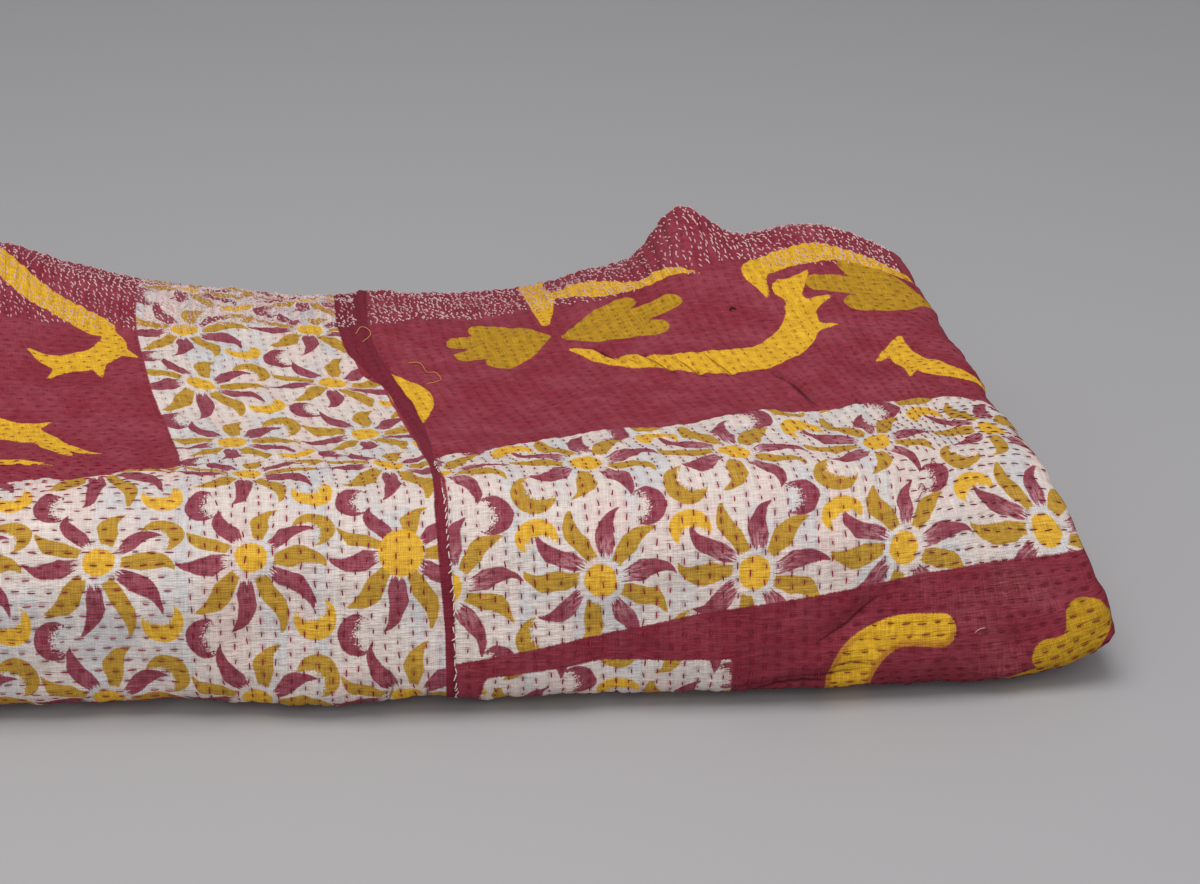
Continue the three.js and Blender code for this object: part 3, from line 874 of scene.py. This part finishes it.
def makeClothMaterial():
    material = bpy.data.materials.new("printedCotton")
    material.use_nodes = True
    material.node_tree.nodes.clear()
    g = Graph(material.node_tree)
    rawU, rawV = g.uv("cloth")
    u, v = rawU * 1000.0, rawV * 1000.0
    flat = g.vector(u, v)
    rough = g.noise(flat, 1.1, 3.0, 0.7) - 0.5
    blotch = g.noise(flat, 0.045, 3.0, 0.6)
    grain = g.noise(flat, 2.6, 2.0, 0.7)
    weave = weaveHeight(g, u, v)

    # older layers show through the white cloth, in patches that end at the stitched columns
    masks = flowerPrint(g, u, v, rough)
    column = g.maths("FLOOR", (u - pile["leftHem"]) / stitchWork["columnGap"])
    behind = g.vector(column * 0.31, v * 0.021)
    tint = g.fade(g.noise(behind, 1.0, 1.0) + blotch * 0.3, 0.6, 0.8)
    blush = g.fade(g.noise(g.vector(column * 0.27 + 40.0, v * 0.016), 1.0, 1.0) + blotch * 0.2, 0.58, 0.74)
    white = g.colours(blush * 0.45, dyes["white"], dyes["pinkTint"])
    white = g.colours(tint * 0.55, white, dyes["blueTint"])
    spill = g.fade(g.field("spillEdge") + rough * 1.6, -0.3, 0.4)
    worn = g.fade(grain + weave * 0.5, 0.45, 1.05)
    yellowDye = g.colours(worn, dyes["yellowDeep"], dyes["yellow"])
    mustardDye = g.colours(worn, dyes["mustardDark"], dyes["mustard"])
    petalDye = g.colours(worn, dyes["petalMaroon"], dyes["petalPale"])
    streaks = masks["streaks"] * (g.field("crescentShift") * 0.5 + 0.15)
    petalDye = g.colours(streaks, petalDye, dyes["petalStreak"])
    flowerCloth = g.colours(masks["mustard"] * 0.96, white, mustardDye)
    flowerCloth = g.colours(masks["maroon"] * 0.96, flowerCloth, petalDye)
    flowerCloth = g.colours(g.either(masks["yellow"], spill) * 0.97, flowerCloth, yellowDye)

    # the ground is rubbed pale on its ripple crests and carries painted shade in the ripple troughs; the
    # ripples lie across the stitching
    ripple = g.noise(g.vector(u * 0.16, v * 0.75), 1.0, 2.0, 0.6)
    ground = g.colours(g.fade(blotch, 0.35, 0.75) * 0.6, dyes["maroon"], dyes["maroonPale"])
    ground = g.colours(g.fade(ripple, 0.5, 0.75) * 0.5, ground, dyes["maroonPale"])
    ground = g.colours(g.fade(ripple, 0.5, 0.3) * 0.5, ground, dyes["maroonDark"])
    ground = g.colours(g.field("shaded") * 0.45, ground, dyes["maroonDark"])
    ground = g.colours(g.field("rubbed") * g.fade(grain + weave * 0.5, 0.5, 1.1), ground, dyes["rubbed"])
    mustardMask = g.fade(g.field("mustardEdge") + rough * 1.3, -0.35, 0.35)
    yellowMask = g.fade(g.field("yellowEdge") + rough * 1.3, -0.35, 0.35)
    ground = g.colours(mustardMask, ground, mustardDye)
    stained = g.fade(g.field("yellowEdge") + rough * 1.4, *rustEdge["edge"])
    stained = stained * g.fade(v, *rustEdge["below"]) * g.fade(u, *rustEdge["from"])
    ground = g.colours(yellowMask, ground, g.colours(stained * rustEdge["share"], yellowDye, dyes["rust"]))

    whiteMask = g.fade(g.field("whiteEdge") + rough * 1.8, -0.3, 0.3)
    stripMask = g.fade(g.field("stripEdge") + rough * 1.0, -0.3, 0.3)
    stripDye = g.colours(worn, dyes["stripMaroon"], dyes["maroonDark"])
    colour = g.colours(whiteMask, ground, flowerCloth)
    colour = g.colours(stripMask, colour, stripDye)
    dimple, inWhite = stitchDimples(g, u, v)
    painted = g.fade(dimple, 0.5, 0.75) * (1.0 - g.field("sewn"))
    threadColour = g.colours(inWhite, dyes["redThread"], dyes["white"])
    colour = g.colours(painted, colour, threadColour)
    shade = g.colours(1.0, colour, g.colours(weave, (0.80, 0.79, 0.78, 1), (1.26, 1.26, 1.26, 1)), "MULTIPLY")
    # painted shade: the bottom of each crease is darkened in the cloth colour
    creaseShade = g.fade(g.field("creaseShadeEdge"), -0.5, 0.15)
    shade = g.colours(creaseShade * 0.75, shade, g.colours(1.0, shade, (0.22, 0.20, 0.22, 1), "MULTIPLY"))
    # painted shade in the stitch dimples, where the thread pulls the cloth down
    shade = g.colours(dimple * 0.3, shade, g.colours(1.0, shade, (0.6, 0.5, 0.52, 1), "MULTIPLY"))

    fine = g.node("ShaderNodeBump", Strength=0.6, Distance=0.0004, Height=weave + grain * 0.3)
    ripples = g.node("ShaderNodeBump", Strength=0.75, Distance=0.0012, Height=ripple, Normal=g.out(fine))
    puffs = g.node("ShaderNodeBump", Strength=0.6, Distance=0.0012, Height=1.0 - dimple,
                   Normal=g.out(ripples))
    surface = g.node("ShaderNodeBsdfPrincipled", Base_Color=shade, Roughness=0.92, Normal=g.out(puffs))
    surface.inputs["Specular IOR Level"].default_value = 0.16
    g.node("ShaderNodeOutputMaterial", Surface=g.out(surface))
    return material


def makeThreadMaterial(name, colour, paler):
    material = bpy.data.materials.new(name)
    material.use_nodes = True
    material.node_tree.nodes.clear()
    g = Graph(material.node_tree)
    place = g.out(g.node("ShaderNodeTexCoord"), "Object")
    mottle = g.noise(place, 900.0, 2.0)
    wear = g.noise(place, 40.0, 2.0)
    surface = g.node("ShaderNodeBsdfPrincipled", Base_Color=g.colours(g.fade(wear, 0.4, 0.7), colour, paler),
                     Roughness=0.85, Normal=g.out(g.node("ShaderNodeBump", Strength=0.4, Distance=0.0002,
                                                         Height=mottle)))
    surface.inputs["Specular IOR Level"].default_value = 0.2
    g.node("ShaderNodeOutputMaterial", Surface=g.out(surface))
    return material


# Running stitches: every stitch is a short arc of thread, set on the cloth by Geometry Nodes
threadWork = {
    "red": {"length": 2.4, "thickness": 0.52, "puff": 0.3, "sink": 0.16, "uneven": 0.35, "stray": 0.3,
            "askew": 6, "seed": 3},
    "redRows": {"length": 3.0, "thickness": 0.46, "puff": 0.3, "sink": 0.16, "uneven": 0.35, "stray": 0.3,
                "askew": 4, "seed": 4},
    "redTop": {"length": 1.6, "thickness": 0.34, "puff": 0.2, "sink": 0.14, "uneven": 0.4, "stray": 0.35,
               "askew": 8, "seed": 6},
    "white": {"length": 2.1, "thickness": 0.8, "puff": 0.3, "sink": 0.3, "uneven": 0.5, "stray": 0.7,
              "askew": 16, "turned": 18, "seed": 5},
    "overcast": {"length": 2.6, "thickness": 0.5, "puff": 0.5, "sink": 0.2, "uneven": 0.35, "stray": 0.25,
                 "askew": 18, "seed": 9},
}


def stitchTree():
    tree = bpy.data.node_groups.new("threadStitches", "GeometryNodeTree")
    face = tree.interface
    face.new_socket("Places", in_out="INPUT", socket_type="NodeSocketGeometry")
    for name in ("Length", "Thickness", "Puff", "Sink", "Uneven"):
        face.new_socket(name, in_out="INPUT", socket_type="NodeSocketFloat")
    face.new_socket("Seed", in_out="INPUT", socket_type="NodeSocketInt")
    face.new_socket("Material", in_out="INPUT", socket_type="NodeSocketMaterial")
    face.new_socket("Stitches", in_out="OUTPUT", socket_type="NodeSocketGeometry")
    g = Graph(tree)
    given = g.node("NodeGroupInput")
    length, sink = g.out(given, "Length"), g.out(given, "Sink")
    arc = g.node("GeometryNodeCurveQuadraticBezier", Resolution=4,
                 Start=g.vector(length * -0.5, 0.0, sink * -1.0),
                 End=g.vector(length * 0.5, 0.0, sink * -1.0),
                 Middle=g.vector(0.0, 0.0, g.out(given, "Puff") * 2.0))
    ring = g.node("GeometryNodeCurvePrimitiveCircle", Resolution=4, Radius=g.out(given, "Thickness") * 0.5)
    stitch = g.node("GeometryNodeCurveToMesh", Curve=g.out(arc), Profile_Curve=g.out(ring), Fill_Caps=True)
    smoothed = g.node("GeometryNodeSetShadeSmooth", Geometry=g.out(stitch))
    turn = g.node("GeometryNodeInputNamedAttribute", {"data_type": "FLOAT_VECTOR"}, Name="turn")
    chance = g.node("FunctionNodeRandomValue", {"data_type": "FLOAT"})
    g.plug(chance.inputs[2], 1.0 - g.out(given, "Uneven"))
    g.plug(chance.inputs[3], 1.0 + g.out(given, "Uneven"))
    g.plug(chance.inputs["Seed"], g.out(given, "Seed"))
    size = g.vector(Socket(g, chance.outputs[1]), 1.0, 1.0)
    placed = g.node("GeometryNodeInstanceOnPoints", Points=g.out(given, "Places"), Instance=g.out(smoothed),
                    Rotation=g.out(turn), Scale=size)
    real = g.node("GeometryNodeRealizeInstances", Geometry=g.out(placed))
    dressed = g.node("GeometryNodeSetMaterial", Geometry=g.out(real), Material=g.out(given, "Material"))
    g.node("NodeGroupOutput", Stitches=g.out(dressed))
    return tree


def stitchPlaces(lines, isWanted, work):
    # lines holds (u, v, du, dv) rows: a place on the cloth and the way the thread goes there
    rng = np.random.default_rng(work["seed"])
    u, v, du, dv = lines[isWanted(lines[:, 0], lines[:, 1])].T
    u, v = u + rng.normal(0, work["stray"], len(u)), v + rng.normal(0, work["stray"], len(v))
    askew = np.radians(rng.normal(work.get("turned", 0), work["askew"], len(u)))
    du, dv = du * np.cos(askew) - dv * np.sin(askew), du * np.sin(askew) + dv * np.cos(askew)
    middle, normal = middleAndNormal(u, v)
    ahead, _ = middleAndNormal(u + du, v + dv)
    heading = ahead - middle
    heading -= normal * np.sum(heading * normal, axis=1, keepdims=True)
    heading /= np.linalg.norm(heading, axis=1, keepdims=True)
    place = middle + normal * (pile["thickness"] / 2 + relief(u, v))[:, None]
    place[:, :2] -= pile["middleOfFootprint"]
    turns = [Matrix((h, np.cross(n, h), n)).transposed().to_euler() for h, n in zip(heading, normal)]
    return place * millimetre, turns


def columnsOfStitches(pitch, perGap=1):
    lines = np.arange(perGap, perGap * round(leafLength / stitchWork["columnGap"])) / perGap
    onward = np.arange(0, int(sewnV[1] / pitch) + 1)
    line, number = (part.ravel() for part in np.meshgrid(lines, onward))
    v = (number + 0.5 - stitchPhase(line)) * pitch
    u = pile["leftHem"] + line * stitchWork["columnGap"] + wander(v)
    return np.column_stack([u, v, np.zeros(len(u)), np.ones(len(u))])


def rowsOfStitches():
    lines = np.arange(1, int(sewnV[1] / stitchWork["rowGap"]) + 1)
    first = int(pile["leftHem"] / stitchWork["rowPitch"])
    onward = np.arange(first, int(foldEnd / stitchWork["rowPitch"]))
    line, number = (part.ravel() for part in np.meshgrid(lines, onward))
    u = (number + 0.5 - stitchPhase(line)) * stitchWork["rowPitch"]
    v = line * stitchWork["rowGap"] + wander(u)
    return np.column_stack([u, v, np.ones(len(u)), np.zeros(len(u))])


def makeStitches(name, tree, lines, isWanted, work, material):
    places, turns = stitchPlaces(lines, isWanted, work)
    mesh = bpy.data.meshes.new(name + "Places")
    mesh.from_pydata(places.tolist(), [], [])
    layer = mesh.attributes.new("turn", "FLOAT_VECTOR", "POINT")
    layer.data.foreach_set("vector", np.array(turns, np.float32).ravel())
    holder = bpy.data.objects.new(name + "Places", mesh)
    bpy.context.collection.objects.link(holder)
    modifier = holder.modifiers.new("stitches", "NODES")
    modifier.node_group = tree
    sockets = {item.name: item.identifier for item in tree.interface.items_tree if item.in_out == "INPUT"}
    for label, key in (("Length", "length"), ("Thickness", "thickness"), ("Puff", "puff"), ("Sink", "sink")):
        modifier[sockets[label]] = work[key] * millimetre
    modifier[sockets["Uneven"]] = work["uneven"]
    modifier[sockets["Seed"]] = work["seed"]
    modifier[sockets["Material"]] = material
    evaluated = holder.evaluated_get(bpy.context.evaluated_depsgraph_get())
    result = bpy.data.meshes.new_from_object(evaluated)
    result.name = name
    bpy.data.objects.remove(holder)
    print(name, "made:", len(places), "stitches")
    return addPiece(name, result)


def addPiece(name, mesh):
    flat = np.empty(len(mesh.vertices) * 3)
    mesh.vertices.foreach_get("co", flat)
    flat[2::3] = np.maximum(flat[2::3], floorClearance)  # nothing goes into the floor
    mesh.vertices.foreach_set("co", flat)
    mesh.update()
    piece = bpy.data.objects.new(name, mesh)
    bpy.context.collection.objects.link(piece)
    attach(piece, "root")
    return piece


quiltMesh = makeQuiltMesh()
quiltMesh.materials.append(makeClothMaterial())
quilt = addPiece("quiltCloth", quiltMesh)
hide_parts("quilt")
print("quilt cloth made:", len(quiltMesh.polygons), "faces")

stitches = stitchTree()
redThread = makeThreadMaterial("redThread", (0.27, 0.012, 0.034, 1), (0.40, 0.03, 0.07, 1))
whiteThread = makeThreadMaterial("whiteThread", (0.68, 0.47, 0.47, 1), (0.52, 0.27, 0.30, 1))
paleThread = makeThreadMaterial("paleThread", (0.74, 0.66, 0.62, 1), (0.66, 0.58, 0.55, 1))
darkRedThread = makeThreadMaterial("darkRedThread", (0.19, 0.013, 0.028, 1), (0.26, 0.03, 0.05, 1))
darkThread = makeThreadMaterial("darkThread", (0.05, 0.012, 0.012, 1), (0.03, 0.01, 0.01, 1))
orangeThread = makeThreadMaterial("orangeThread", (0.62, 0.24, 0.07, 1), (0.66, 0.36, 0.10, 1))
# u parts the stitches into left and right pieces, and v parts the red ones into front and top pieces
pieceSplit = {"u": -60, "v": 185}


def isOnStrip(u, v):
    return (u > seamEdge("rightEdge", v) - seam["ridge"] - 0.5) & (u < seamEdge("rightEdge", v) + 0.8)


def isWhitePart(u, v):
    return v > np.interp(u, whiteThreadFrom["u"], whiteThreadFrom["v"])


def isSewn(u, v):
    return (v > sewnV[0]) & (v < sewnV[1]) & (u < foldEnd - 4) & ~isOnStrip(u, v)


columns, rows = columnsOfStitches(stitchWork["columnPitch"]), rowsOfStitches()
columns = columns[rowsShare(columns[:, 0], columns[:, 1]) < 0.5]
rows = rows[rowsShare(rows[:, 0], rows[:, 1]) >= 0.5]
both = np.concatenate([columns, rows])
redLines = {
    "redColumnsLeft": (columns, "red", False, True), "redColumnsRight": (columns, "red", False, False),
    "redRowsLeft": (rows, "redRows", False, True), "redRowsRight": (rows, "redRows", False, False),
    "redTopLeft": (both, "redTop", True, True), "redTopRight": (both, "redTop", True, False),
}
for name, (lines, work, isTop, isLeft) in redLines.items():
    def isWanted(u, v, isTop=isTop, isLeft=isLeft):
        isPart = ((v >= pieceSplit["v"]) == isTop) & ((u < pieceSplit["u"]) == isLeft)
        return isSewn(u, v) & ~isWhitePart(u, v) & isPart

    makeStitches(name, stitches, lines, isWanted, threadWork[work],
                 darkRedThread if name == "redRowsRight" else redThread)
whiteLines = columnsOfStitches(stitchWork["whitePitch"], 2)
for name, isLeft in (("whiteStitchesLeft", True), ("whiteStitchesRight", False)):
    def isWanted(u, v, isLeft=isLeft):
        return isSewn(u, v) & isWhitePart(u, v) & ((u < pieceSplit["u"]) == isLeft)

    makeStitches(name, stitches, whiteLines, isWanted, threadWork["white"], whiteThread)
overcast = {"start": 3.0, "end": 330.0, "pitch": 3.1, "inset": 0.2, "slant": 0.35, "runs": (128, 150, 168)}
seamV = np.arange(overcast["start"], overcast["end"], overcast["pitch"])
seamU = seamEdge("rightEdge", seamV) - overcast["inset"]
seamLine = np.column_stack([seamU, seamV, np.full(len(seamV), overcast["slant"]), np.ones(len(seamV))])
firstEnds, nextStarts, nextEnds = overcast["runs"]
makeStitches("seamStitches", stitches, seamLine,
             lambda u, v: (v < firstEnds) | ((v > nextStarts) & (v < nextEnds)),
             threadWork["overcast"], paleThread)

# Loose ends of thread, each a line of (u, v, height) places
looseEnds = [
    {"dye": orangeThread, "thickness": 0.32,
     "line": [(-38, 291, 0.3), (-33, 289, 0.8), (-32, 281, 0.4), (-29, 277, 0.9), (-28, 271, 0.5),
              (-31, 267, 0.8), (-36, 265, 0.3)]},
    {"dye": orangeThread, "thickness": 0.32,
     "line": [(-57, 321, 0.4), (-53, 327, 1.2), (-50, 320, 0.6), (-55, 312, 0.3)]},
    {"dye": redThread, "thickness": 0.4,
     "line": [(140, 122, 0.2), (142, 125, 1.0), (144, 123, 0.7), (142, 121, 1.1), (139, 120, 0.3)]},
    {"dye": redThread, "thickness": 0.4,
     "line": [(130, 113, 0.2), (132, 115, 0.9), (134, 112, 0.6), (131, 111, 0.9), (129, 109, 0.3)]},
    {"dye": whiteThread, "thickness": 0.28,
     "line": [(149, 61.5, 0.2), (151, 62.6, 0.35), (153.5, 62.8, 0.2)]},
    {"dye": darkThread, "thickness": 1.0,
     "line": [(111, 301, 0.2), (112, 302.5, 0.5), (113.5, 301.5, 0.2)]},
]


def makeLooseEnds():
    for number, end in enumerate(looseEnds):
        places = curvedLine(end["line"], 6)
        middle, normal = middleAndNormal(places[:, 0], places[:, 1])
        out = pile["thickness"] / 2 + relief(places[:, 0], places[:, 1]) + places[:, 2]
        line = middle + normal * out[:, None]
        line[:, :2] -= pile["middleOfFootprint"]
        curve = bpy.data.curves.new("looseEnd", "CURVE")
        curve.dimensions, curve.bevel_resolution = "3D", 1
        curve.bevel_depth = end["thickness"] / 2 * millimetre
        spline = curve.splines.new("POLY")
        spline.points.add(len(line) - 1)
        for point, place in zip(spline.points, line * millimetre):
            point.co = (*place, 1)
        holder = bpy.data.objects.new("looseEndLine", curve)
        bpy.context.collection.objects.link(holder)
        mesh = bpy.data.meshes.new_from_object(holder.evaluated_get(bpy.context.evaluated_depsgraph_get()))
        mesh.materials.clear()
        mesh.materials.append(end["dye"])
        bpy.data.objects.remove(holder)
        addPiece("looseEnd" + "ABCDEF"[number], mesh)


makeLooseEnds()
print("stitches made")

# Floor, light and camera
studio = {
    "floorSize": 6.0, "floorColour": (0.40, 0.39, 0.395, 1), "floorRoughness": 0.7,
    "worldColour": (0.62, 0.63, 0.65, 1), "worldStrength": 0.62,
    "mainSize": 1.0, "mainPower": 12.5, "mainPlace": (-0.05, -0.27, 1.43),
    "fillSize": 1.6, "fillPower": 9.0, "fillPlace": (0.1, -1.6, 0.9),
}
view = {
    "place": (74.0, -1015.0, 513.0), "pitch": 25.0, "turn": -3.6,
    "focalPixels": 2490.0, "imageWidth": 1200.0, "sensor": 36.0,
}


def makeFloor():
    bm = bmesh.new()
    bmesh.ops.create_grid(bm, x_segments=1, y_segments=1, size=studio["floorSize"] / 2)
    mesh = bpy.data.meshes.new("floor")
    bm.to_mesh(mesh)
    bm.free()
    floor = bpy.data.objects.new("floor", mesh)
    bpy.context.collection.objects.link(floor)
    material = bpy.data.materials.new("paleFloor")
    material.use_nodes = True
    surface = material.node_tree.nodes["Principled BSDF"]
    surface.inputs["Base Color"].default_value = studio["floorColour"]
    surface.inputs["Roughness"].default_value = studio["floorRoughness"]
    mesh.materials.append(material)


def addLight(name, place, size, power):
    light = bpy.data.lights.new(name, "AREA")
    light.size, light.energy = size, power
    lamp = bpy.data.objects.new(name, light)
    lamp.location = place
    lamp.rotation_euler = (-Vector(place)).to_track_quat("-Z", "Y").to_euler()
    bpy.context.collection.objects.link(lamp)


makeFloor()
addLight("mainLight", studio["mainPlace"], studio["mainSize"], studio["mainPower"])
addLight("fillLight", studio["fillPlace"], studio["fillSize"], studio["fillPower"])
world = bpy.data.worlds.new("room")
bpy.context.scene.world = world
world.use_nodes = True
world.node_tree.nodes["Background"].inputs["Color"].default_value = studio["worldColour"]
world.node_tree.nodes["Background"].inputs["Strength"].default_value = studio["worldStrength"]
bpy.context.scene.view_settings.view_transform = "Standard"
camera = bpy.data.objects.new("camera", bpy.data.cameras.new("camera"))
camera.data.sensor_width = view["sensor"]
camera.data.lens = view["sensor"] * view["focalPixels"] / view["imageWidth"]
camera.location = Vector(view["place"]) * millimetre
camera.rotation_euler = (radians(90 - view["pitch"]), 0, radians(view["turn"]))
bpy.context.collection.objects.link(camera)
bpy.context.scene.camera = camera
print("floor, lights and camera made")
